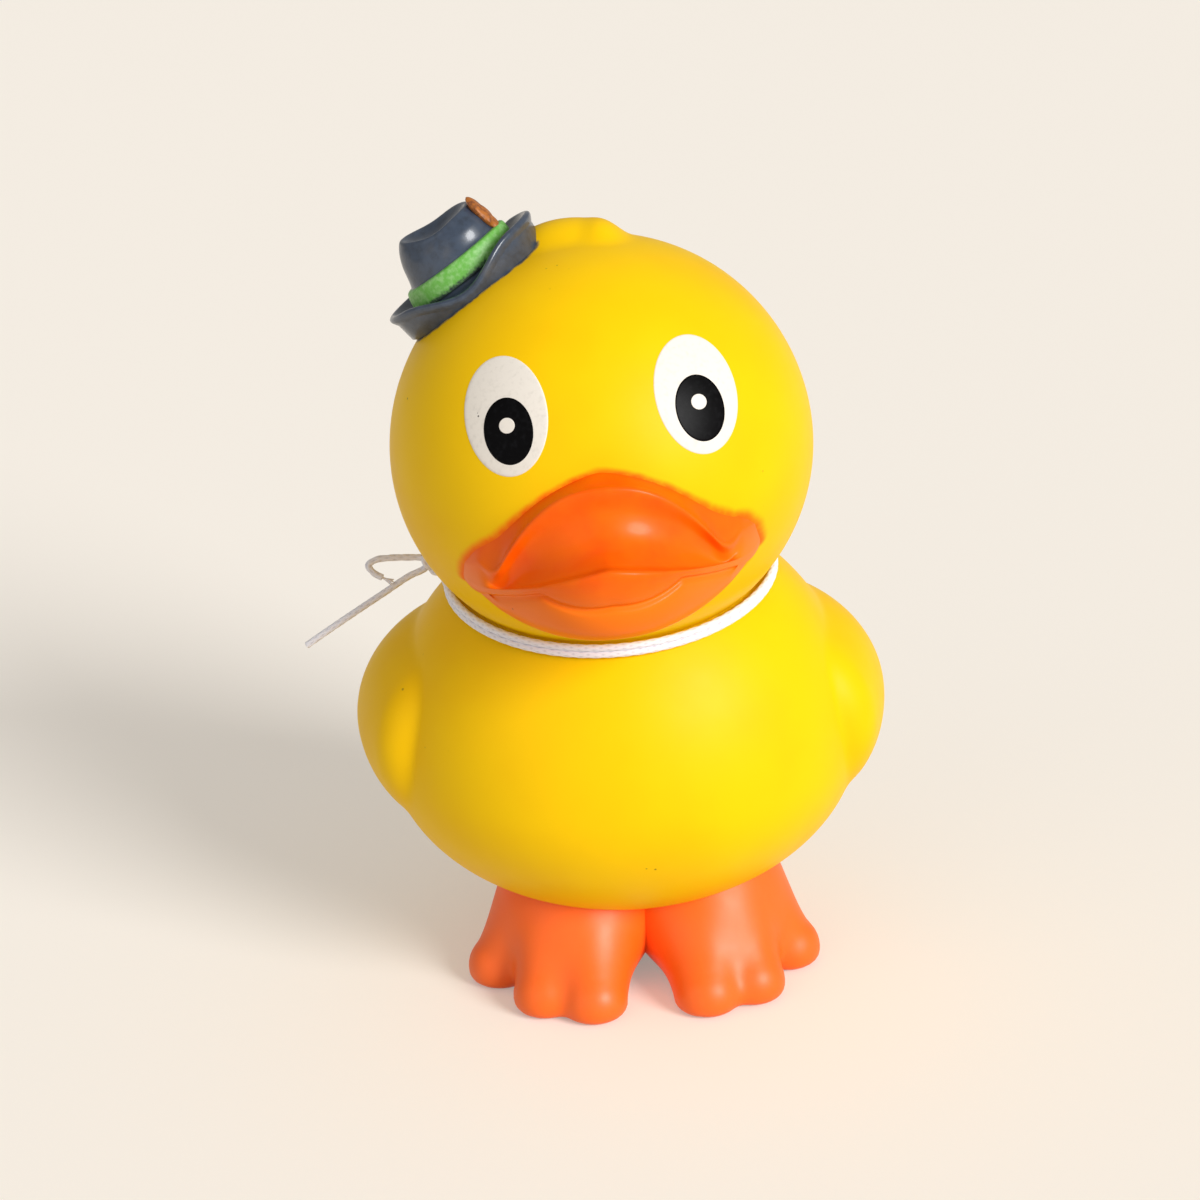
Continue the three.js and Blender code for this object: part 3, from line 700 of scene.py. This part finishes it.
class DUCK_OT_skin(bpy.types.Operator):
    """Build the yellow moulding: body, wings, tail, head and tuft in one skin"""

    bl_idname = "duck.skin"
    bl_label = "Yellow Moulding"

    def execute(self, context):
        m = measures()
        heart = m.body_centre + (0.0, 0.0, 4.0)
        reach = 3 * m.body_half_width
        trunk = skin(lambda p: trunk_field(p, m), heart, SKIN_DETAIL, reach)
        head = skin(lambda p: head_and_tuft_field(p, m), (0, 0, 0), SKIN_DETAIL, reach)
        body = new_piece("duck_skin", *trunk, m.duck_pose(), VINYL_SLOT, [DUCK_NODE])
        ball = new_piece("duck_head", *head, m.head_pose(), VINYL_SLOT, [DUCK_NODE])
        join = body.modifiers.new("head", "BOOLEAN")
        join.operation = "UNION"
        join.solver = "MANIFOLD"
        join.object = ball
        solid = bpy.data.meshes.new_from_object(body.evaluated_get(context.evaluated_depsgraph_get()))
        body.modifiers.clear()
        body.data = solid
        bpy.data.objects.remove(ball)
        solid.shade_smooth()
        solid.materials.clear()
        nearness(body, bpy.data.objects["beak"], "beak_gap")
        nearness(body, bpy.data.objects["hat"], "hat_gap")
        solid.materials.append(vinyl_paint())
        return {"FINISHED"}


class DUCK_OT_beak(bpy.types.Operator):
    """Build the beak, lofted from corner to corner"""

    bl_idname = "duck.beak"
    bl_label = "Beak"

    sections = 120
    per_span = 12

    def execute(self, context):
        m = measures()
        rows = []
        for i in range(1, self.sections):
            share = math.sin(math.pi * (i / self.sections - 0.5))
            stations = beak_stations(share, m)
            ring = smooth_loop(stations, self.per_span)
            heart = 0.5 * (stations[ROOT_STATION] + stations[UNDER_STATION])
            heart[0] = stations[LIP_STATION][0] - 3.0
            ring = heart + (ring - heart) * math.sqrt(1 - abs(share) ** CORNER_BLUNTNESS)
            aside = np.full(len(ring), m.beak_half_width * share)
            rows.append(np.column_stack((aside, -ring[:, 0], ring[:, 1])))
        count = len(rows[0])
        vertices = np.vstack(rows)
        faces = grid_faces(len(rows), count)
        for row, side in ((0, -1), (len(rows) - 1, 1)):
            pole = rows[row].mean(axis=0)
            pole[0] = side * m.beak_half_width
            vertices = np.vstack((vertices, pole))
            first = row * count
            faces += [(first + k, first + (k + 1) % count, len(vertices) - 1) for k in range(count)]
        pose = m.head_pose() @ Matrix.Rotation(m.beak_turn, 4, "Z")
        outward(new_piece("beak", vertices, faces, pose, VINYL_SLOT, [DUCK_NODE], beak_paint()))
        return {"FINISHED"}


class DUCK_OT_feet(bpy.types.Operator):
    """Build the two webbed feet"""

    bl_idname = "duck.feet"
    bl_label = "Feet"

    def execute(self, context):
        m = measures()
        for side, name in ((-1, "foot_left"), (1, "foot_right")):
            seed = (side * m.instep_spread + FEET_ASIDE, -m.instep_forward, 6.0)
            foot = skin(lambda p, side=side: foot_field(p, m, side), seed, FOOT_DETAIL, 60.0)
            new_piece(name, *foot, m.duck_pose(), VINYL_SLOT, [DUCK_NODE], feet_paint())
        return {"FINISHED"}


BRIM_DROOP = 0.2
HAT_OVAL = 0.8
HAT_LEAN, HAT_PINCH, HAT_DENT = 0.85, 0.14, 1.1


def hat_bend(points, m):
    """Curls the brim at two ends, leans and dents the crown."""
    x, y, z = points.T * np.array((1.0, HAT_OVAL, 1.0))[:, None]
    radius = np.hypot(x, y / HAT_OVAL)
    out = smooth_step(radius, m.hat_crown_radius, m.hat_brim_radius)
    up = smooth_step(z, 0.5 * m.hat_crown_height, m.hat_crown_height)
    end = smooth_step(np.abs(x), 0.0, 0.75 * m.hat_brim_radius)
    curl = np.where(z > -1, out * (m.hat_brim_curl * end - BRIM_DROOP * (1 - end)), 0.0)
    dent = up * HAT_DENT * np.exp(-((x + 0.6) ** 2) / 6 - y * y / 16)
    rise = up * (0.1 * y - 0.15 * x)
    lean = np.where(z > 0.8, HAT_LEAN * (z - 0.8) / m.hat_crown_height, 0.0)
    pinch = 1 - HAT_PINCH * up * smooth_step(-x, -2.0, 4.0)
    return np.column_stack((x + lean, y * pinch, z + curl - dent + rise))


def turned(profile, sides):
    """Rows of a turned form, one row for each profile point."""
    angle = ring_angles(sides)
    ring = np.column_stack((np.cos(angle), np.sin(angle)))
    rows = [np.column_stack((radius * ring, np.full(sides, z))) for radius, z in profile]
    return np.vstack(rows)


class DUCK_OT_hat(bpy.types.Operator):
    """Build the hat with its band and feather"""

    bl_idname = "duck.hat"
    bl_label = "Hat"

    sides = 144

    def execute(self, context):
        m = measures()
        brim = m.hat_brim_radius
        seat = -1 - brim**2 / (2 * m.head_radius)
        band = m.hat_crown_radius + 0.05
        top = m.hat_crown_height
        crown = m.hat_crown_top_radius
        # Radius and height, from the hidden seat round the brim, along the band and up the crown
        stations = [(0.02, -4.0), (brim - 4, -4.0), (brim - 3.0, seat), (brim - 0.3, -0.95)]
        stations += [(brim + 0.1, -0.1), (brim - 0.4, 0.25), (brim - 1.4, 0.1), (band + 0.4, 0.35)]
        stations += [(band, 0.8), (band - 0.1, 0.8 + m.hat_band_height)]
        stations += [(m.hat_crown_radius - 0.4, 0.9 + m.hat_band_height)]
        stations += [(0.5 * (m.hat_crown_radius + crown), 0.72 * top), (crown + 0.2, 0.92 * top)]
        stations += [(crown - 0.3, top), (0.6 * crown, top - 0.4), (0.02, top - 0.6)]
        profile = smooth_loop(stations, 8, closed=False)
        vertices = hat_bend(turned(profile, self.sides), m)
        faces = grid_faces(len(profile), self.sides) + end_caps(len(profile), self.sides)
        outward(new_piece("hat", vertices, faces, m.hat_pose(), VINYL_SLOT, [DUCK_NODE], hat_paint()))
        self.build_band(m)
        self.build_feather(m)
        return {"FINISHED"}

    def build_band(self, m):
        radius = m.hat_crown_radius
        low, high = 0.62, 0.8 + m.hat_band_height
        loop = (
            (radius - 0.6, low),
            (radius + 0.32, low),
            (radius + 0.38, low + 0.35),
            (radius + 0.22, high - 0.25),
            (radius + 0.02, high),
            (radius - 0.8, high),
        )
        section = smooth_loop(loop, 6)
        vertices = hat_bend(turned(section, self.sides), m)
        faces = grid_faces(len(section), self.sides, closed_rows=True)
        pose = m.hat_pose()
        band = new_piece("hat_band", vertices, faces, pose, VINYL_SLOT, [DUCK_NODE], band_paint())
        outward(band)
        height = np.repeat((section[:, 1] - low) / (high - low), self.sides)
        write_values(band, "band_height", height)

    def build_feather(self, m):
        rays, faces = unit_ball(FEATHER_DETAIL)
        barbs = 0.06 * np.sin(9.0 * rays[:, 2] + 5.0 * np.abs(rays[:, 1]))
        shape = rays * (0.6, 1.4, 2.4) * (1 + barbs[:, None] * (rays[:, :1] > 0))
        tilt = Matrix.Rotation(-0.16, 3, "Y")
        vertices = shape @ np.array(tilt).T + (m.hat_crown_radius - 0.6, -0.8, 0.64 * m.hat_crown_height)
        pose = m.hat_pose()
        new_piece("hat_feather", vertices, faces, pose, VINYL_SLOT, [DUCK_NODE], feather_paint())


EYES = {
    "eye_left": {"centre": (-9.2, 10.3), "tilt": 0.0, "pupil": (0.05, -1.55), "dot": (-0.08, 0.55)},
    "eye_right": {"centre": (9.5, 10.0), "tilt": 4.0, "pupil": (0.1, -1.45), "dot": (0.0, 0.6)},
}
PRINT_ELEVATION = math.radians(22.0)
WHITE_HEIGHT, PUPIL_HEIGHT, DOT_HEIGHT, FILM_DEPTH = 0.06, 0.1, 0.14, 0.1


class DUCK_OT_eyes(bpy.types.Operator):
    """Build the printed eyes as thin films of ink on the head"""

    bl_idname = "duck.eyes"
    bl_label = "Eyes"

    spokes = 96
    rings = 20

    def film(self, m, eye, middle, half_width, half_height, height):
        """A closed oval film, printed on the head from the front; its rim dips into the vinyl."""
        x, z = eye["centre"]
        spot = np.array((x, -math.sqrt(m.head_radius**2 - x * x - z * z), z))
        ahead = np.array((0.0, -math.cos(PRINT_ELEVATION), math.sin(PRINT_ELEVATION)))
        lean = math.radians(eye["tilt"])
        level, upright = np.array((1.0, 0.0, 0.0)), np.cross(ahead, (1.0, 0.0, 0.0))
        across = math.cos(lean) * level + math.sin(lean) * upright
        up = math.cos(lean) * upright - math.sin(lean) * level
        angle = ring_angles(self.spokes)
        rows = []
        profile = [(share, height) for share in np.linspace(0.03, 0.97, self.rings)]
        profile += [(0.99, 0.7 * height), (1.0, 0.0)]
        profile += [(share, -FILM_DEPTH) for share in (1.0, 0.6, 0.3, 0.03)]
        for share, lift in profile:
            a = middle[0] + share * half_width * np.cos(angle)
            b = middle[1] + share * half_height * np.sin(angle)
            start = spot + a[:, None] * across + b[:, None] * up
            depth = start @ ahead
            reach = (m.head_radius + lift) ** 2 - np.sum(start**2, axis=1) + depth**2
            rows.append(start + (np.sqrt(reach) - depth)[:, None] * ahead)
        return np.vstack(rows), grid_faces(len(rows), self.spokes) + end_caps(len(rows), self.spokes)

    def execute(self, context):
        m = measures()
        tint = colours()
        inks = (
            eye_paint("eye_white_ink", tint.eye_white, (0.62, 0.57, 0.5, 1.0), 0.34),
            eye_paint("eye_black_ink", tint.pupil, (0.012, 0.012, 0.014, 1.0), 0.26),
            eye_paint("eye_dot_ink", tint.eye_white, (0.7, 0.68, 0.66, 1.0), 0.34),
        )
        for name, eye in EYES.items():
            pupil = np.array(eye["pupil"])
            dot = pupil + eye["dot"]
            films = (
                self.film(m, eye, (0, 0), m.eye_half_width, m.eye_half_height, WHITE_HEIGHT),
                self.film(m, eye, pupil, m.pupil_half_width, m.pupil_half_height, PUPIL_HEIGHT),
                self.film(m, eye, dot, m.eye_dot_radius, m.eye_dot_radius, DOT_HEIGHT),
            )
            ink_of = np.repeat(range(len(films)), [len(quads) for _, quads in films])
            piece = new_piece(name, *merged(films), m.head_pose(), VINYL_SLOT, [DUCK_NODE], *inks)
            outward(piece)
            piece.data.polygons.foreach_set("material_index", ink_of)
        return {"FINISHED"}


# Cord


def neck_crease(m, headings, clear):
    """Spots in the crease between head and body that are one cord bundle clear of both."""
    inverse = np.array((m.duck_pose().inverted() @ m.head_pose()).inverted())
    turn, offset = inverse[:3, :3], inverse[:3, 3] / MM

    def head_at(points):
        return head_field(points @ turn.T + offset, m)

    def trunk_at(points):
        return trunk_field(points, m)

    def spots(radius, level):
        x, y = radius * np.cos(headings), radius * np.sin(headings)
        return np.column_stack((x, y - 0.5 * m.head_forward, level))

    def radius_where(field, level):
        near, far = np.zeros(len(headings)), np.full(len(headings), 2 * m.body_half_width)
        for _ in range(BISECTIONS):
            middle = (near + far) / 2
            within = field(spots(middle, level)) < clear
            near, far = np.where(within, middle, near), np.where(within, far, middle)
        return near

    low = np.full(len(headings), m.body_centre[2] + 0.3 * m.body_above)
    high = np.full(len(headings), m.head_centre[2])
    for _ in range(BISECTIONS):
        level = (low + high) / 2
        under = radius_where(head_at, level) < radius_where(trunk_at, level)
        low, high = np.where(under, level, low), np.where(under, high, level)
    return spots(radius_where(trunk_at, low), low)


KNOT_HEADING = math.radians(167)
KNOT_RADIUS = 1.15
CORD_CLEARANCE = 0.3
TURNS, STEPS_PER_TURN = 2, 72
# In turns: from the knot to the first turn, and half of the place where the turns change sides
KNOT_GAP, CROSSOVER = 0.06, 0.07
BRAID_SIDES, BRAID_STRANDS, BRAID_PITCH = 20, 4, 2.15
BRAID_VALLEY, BRAID_RELIEF, TIP_TAPER = 0.9, 0.16, 0.2
# Points of the two tails, from the knot outwards
LOWER_TAIL = [(-1.3, 0.1, -0.8), (-2.8, 0.0, -1.4), (-5.6, -0.4, -3.0)]
LOWER_TAIL += [(-9.2, -0.8, -5.1), (-12.9, -1.0, -7.4), (-14.4, -1.0, -8.4)]
UPPER_TAIL = [(-1.3, 0.3, 0.5), (-2.8, 0.4, 0.6), (-4.9, 0.3, 0.7), (-6.3, 0.2, 0.6)]
UPPER_TAIL += [(-7.1, 0.0, 0.1), (-6.6, -0.2, -0.7), (-5.6, -0.4, -1.3)]


def knot_centre(m):
    spot = neck_crease(m, np.array([KNOT_HEADING]), m.cord_diameter + CORD_CLEARANCE)[0]
    out = 0.5 * m.cord_diameter + CORD_CLEARANCE + KNOT_RADIUS
    return spot + out * np.array((math.cos(KNOT_HEADING), math.sin(KNOT_HEADING), 0.0))


def cord_route(m):
    """The whole cord from one free tip to the other: tail, knot, two turns, knot, tail."""
    knot = knot_centre(m)
    turn = np.linspace(KNOT_GAP, TURNS - KNOT_GAP, STEPS_PER_TURN * TURNS)
    headings = KNOT_HEADING + 2 * math.pi * turn
    line = neck_crease(m, headings, m.cord_diameter + CORD_CLEARANCE)
    side = 0.5 * m.cord_diameter * 1.02 * (1 - 2 * smooth_step(turn, 1 - CROSSOVER, 1 + CROSSOVER))
    line[:, 2] += side
    lower = np.array(LOWER_TAIL)[::-1] + knot
    upper = np.array(UPPER_TAIL) + knot
    return np.vstack((lower, knot + (-0.3, 0.5, -0.3), line, knot + (-0.3, -0.5, 0.3), upper))


def even_path(points, spacing):
    """The smooth line through the points, with points at even spacing."""
    line = smooth_loop(points, 24, closed=False)
    run = np.concatenate(([0.0], np.cumsum(np.linalg.norm(np.diff(line, axis=0), axis=1))))
    marks = np.linspace(0, run[-1], int(run[-1] / spacing) + 1)
    return np.column_stack([np.interp(marks, run, line[:, k]) for k in range(3)]), run[-1]


def carried_frames(path):
    """Directions across and up for each point of a path, carried along without twisting."""
    along = np.gradient(path, axis=0)
    along /= np.linalg.norm(along, axis=1)[:, None]
    across = np.zeros_like(along)
    start = np.cross(along[0], (0, 0, 1.0))
    across[0] = start / np.linalg.norm(start)
    for k in range(1, len(path)):
        carried = across[k - 1] - along[k] * (across[k - 1] @ along[k])
        across[k] = carried / np.linalg.norm(carried)
    return across, np.cross(along, across)


def braided_tube(path, diameter, spacing):
    """A closed tube along a path with the relief of a braid; also gives the height of the relief."""
    across, up = carried_frames(path)
    around = ring_angles(BRAID_SIDES)
    run = np.arange(len(path)) * spacing * 2 * math.pi / (BRAID_PITCH * diameter)
    left = np.cos(BRAID_STRANDS * around[None, :] + run[:, None])
    right = np.cos(BRAID_STRANDS * around[None, :] - run[:, None])
    braid = np.maximum(left, right) * 0.5 + 0.5
    radius = 0.5 * diameter * (BRAID_VALLEY + BRAID_RELIEF * braid)
    radius[[0, -1]] *= TIP_TAPER
    rings = (
        path[:, None, :]
        + radius[:, :, None] * np.cos(around)[None, :, None] * across[:, None, :]
        + radius[:, :, None] * np.sin(around)[None, :, None] * up[:, None, :]
    )
    faces = grid_faces(len(path), BRAID_SIDES) + end_caps(len(path), BRAID_SIDES)
    return rings.reshape(-1, 3), faces, braid.ravel()


class DUCK_OT_cord(bpy.types.Operator):
    """Build the braided neck cord with its knot and two tails"""

    bl_idname = "duck.cord"
    bl_label = "Neck Cord"

    spacing = 0.1
    fibres = 9
    fibre_diameter = 0.16

    def braided_piece(self, name, m, tubes, nodes, paint):
        vertices, faces = merged([(points, quads) for points, quads, _ in tubes])
        piece = new_piece(name, vertices, faces, m.duck_pose(), CORD_SLOT, nodes, paint)
        outward(piece)
        write_values(piece, "braid", np.concatenate([relief for _, _, relief in tubes]))
        return piece

    def knot_loop(self, m):
        """A trefoil, which is the closed form of an overhand knot."""
        t = np.linspace(0, 2 * math.pi, 61)
        size = KNOT_RADIUS / 3
        across, up = np.sin(t) + 2 * np.sin(2 * t), np.cos(t) - 2 * np.cos(2 * t)
        loop = size * np.column_stack((across, 1.3 * np.sin(3 * t), up))
        path, _ = even_path(loop + knot_centre(m), self.spacing)
        return braided_tube(path, m.cord_diameter, self.spacing)

    def fray(self, path, m):
        """Loose fibres that fan out of the upper tail's tip."""
        tip = path[-1]
        ahead = (tip - path[-6]) / np.linalg.norm(tip - path[-6])
        tubes = []
        for k in range(self.fibres):
            turn = 2.4 * k
            aside = np.array((0.3 * math.cos(turn), math.cos(1.7 * turn), math.sin(turn)))
            length = 0.9 + 0.5 * math.sin(5.0 * k) ** 2
            steps = np.linspace(0, 1, 9)[:, None]
            line = tip - 0.5 * ahead + steps * (0.5 + length) * ahead + 0.28 * steps**2 * length * aside
            tubes.append(braided_tube(line, self.fibre_diameter, self.spacing))
        return tubes

    def execute(self, context):
        m = measures()
        paint = cord_paint()
        path, length = even_path(cord_route(m), self.spacing)
        tube = braided_tube(path, m.cord_diameter, self.spacing)
        cord = self.braided_piece("neck_cord", m, [tube], CORD_NODES, paint)
        knot = self.braided_piece("neck_knot", m, [self.knot_loop(m)], [KNOT_NODE], paint)
        fray = self.braided_piece("cord_fray", m, self.fray(path, m), [UPPER_TAIL_NODE], paint)
        place = m.duck_pose()
        tuple(place @ Vector(knot_centre(m) * MM))
        return {"FINISHED"}


# Stage


AMBIENT, AMBIENT_COLOUR = 0.39, (1.0, 0.985, 0.96, 1.0)
FLOOR_SIDE, SENSOR_WIDTH = 6.0, 36.0
# Direction towards the lamp, strength, and softness in degrees
LAMPS = {
    "key": ((2.09, -2.32, 1.59), 3.0, 26.0),
    "fill": ((-2.4, -2.4, 0.9), 0.35, 60.0),
}


class DUCK_OT_stage(bpy.types.Operator):
    """Set up the pale floor, the soft lights and the camera"""

    bl_idname = "duck.stage"
    bl_label = "Stage"

    aim = (-1.9, 0.0, 41.0)
    distance = 330.0
    elevation = math.radians(22.0)
    azimuth = math.radians(-2.4)
    roll = math.radians(2.5)
    pixels_per_mm = 9.3
    picture_side = 1200

    def execute(self, context):
        m = measures()
        self.build_floor()
        self.build_camera(context, m)
        self.build_lights(context)
        context.scene.view_settings.view_transform = "Standard"
        return {"FINISHED"}

    def build_floor(self):
        mesh = bpy.data.meshes.new("floor")
        side = FLOOR_SIDE
        corners = [(-side, -side, 0), (side, -side, 0), (side, side, 0), (-side, side, 0)]
        mesh.from_pydata(corners, [], [(0, 1, 2, 3)])
        floor = bpy.data.objects.new("floor", mesh)
        bpy.context.scene.collection.objects.link(floor)
        mesh.materials.append(floor_paint())

    def build_camera(self, context, m):
        data = bpy.data.cameras.new("photo_camera")
        data.sensor_width = SENSOR_WIDTH
        data.lens = SENSOR_WIDTH * self.pixels_per_mm * self.distance / self.picture_side
        data.clip_start, data.clip_end = 0.01, 20.0
        camera = bpy.data.objects.new("photo_camera", data)
        context.scene.collection.objects.link(camera)
        across = math.cos(self.elevation)
        ahead, aside = math.cos(self.azimuth) * across, math.sin(self.azimuth) * across
        back = Vector((aside, -ahead, math.sin(self.elevation)))
        target = (Vector(self.aim) + Vector((0.0, m.shift, 0.0))) * MM
        turn = (-back).to_track_quat("-Z", "Y").to_matrix().to_4x4() @ Matrix.Rotation(-self.roll, 4, "Z")
        camera.matrix_world = Matrix.Translation(target + back * self.distance * MM) @ turn
        context.scene.camera = camera

    def build_lights(self, context):
        world = bpy.data.worlds.new("studio")
        world.use_nodes = True
        tree = world.node_tree
        seen = add_node(tree, "ShaderNodeLightPath", output="Is Camera Ray")
        ambient, pale = (
            add_node(tree, "ShaderNodeBackground", None, {"Color": colour, "Strength": strength})
            for colour, strength in ((AMBIENT_COLOUR, AMBIENT), (colours().floor, 1.0))
        )
        shown = add_node(tree, "ShaderNodeMixShader", None, {0: seen, 1: ambient, 2: pale})
        tree.links.new(shown.socket, tree.nodes["World Output"].inputs["Surface"])
        context.scene.world = world
        for name, (toward, strength, softness) in LAMPS.items():
            data = bpy.data.lights.new(name, "SUN")
            data.energy = strength
            data.angle = math.radians(softness)
            lamp = bpy.data.objects.new(name, data)
            context.scene.collection.objects.link(lamp)
            lamp.rotation_euler = (-Vector(toward)).to_track_quat("-Z", "Y").to_euler()


class DUCK_PT_panel(bpy.types.Panel):
    """Lists the duck's sizes, colours and building steps"""

    bl_idname = "DUCK_PT_panel"
    bl_label = "Rubber Duck"
    bl_space_type = "VIEW_3D"
    bl_region_type = "UI"
    bl_category = "Duck"

    def draw(self, context):
        for step in STEPS:
            self.layout.operator(step.bl_idname)
        for group in (context.scene.duck_sizes, context.scene.duck_colours):
            column = self.layout.column(align=True)
            for name in type(group).__annotations__:
                column.prop(group, name)


STEPS = (DUCK_OT_stage, DUCK_OT_cord, DUCK_OT_beak, DUCK_OT_hat, DUCK_OT_skin, DUCK_OT_feet, DUCK_OT_eyes)
CLASSES = (DuckSizes, DuckColours, *STEPS, DUCK_PT_panel)


def register():
    for cls in CLASSES:
        bpy.utils.register_class(cls)
    bpy.types.Scene.duck_sizes = bpy.props.PointerProperty(type=DuckSizes)
    bpy.types.Scene.duck_colours = bpy.props.PointerProperty(type=DuckColours)


def unregister():
    del bpy.types.Scene.duck_colours
    del bpy.types.Scene.duck_sizes
    for cls in reversed(CLASSES):
        bpy.utils.unregister_class(cls)


def main():
    register()
    bpy.ops.duck.stage()
    bpy.ops.duck.cord()
    bpy.ops.duck.beak()
    bpy.ops.duck.hat()
    bpy.ops.duck.skin()
    bpy.ops.duck.feet()
    bpy.ops.duck.eyes()


if __name__ == "__main__":
    main()
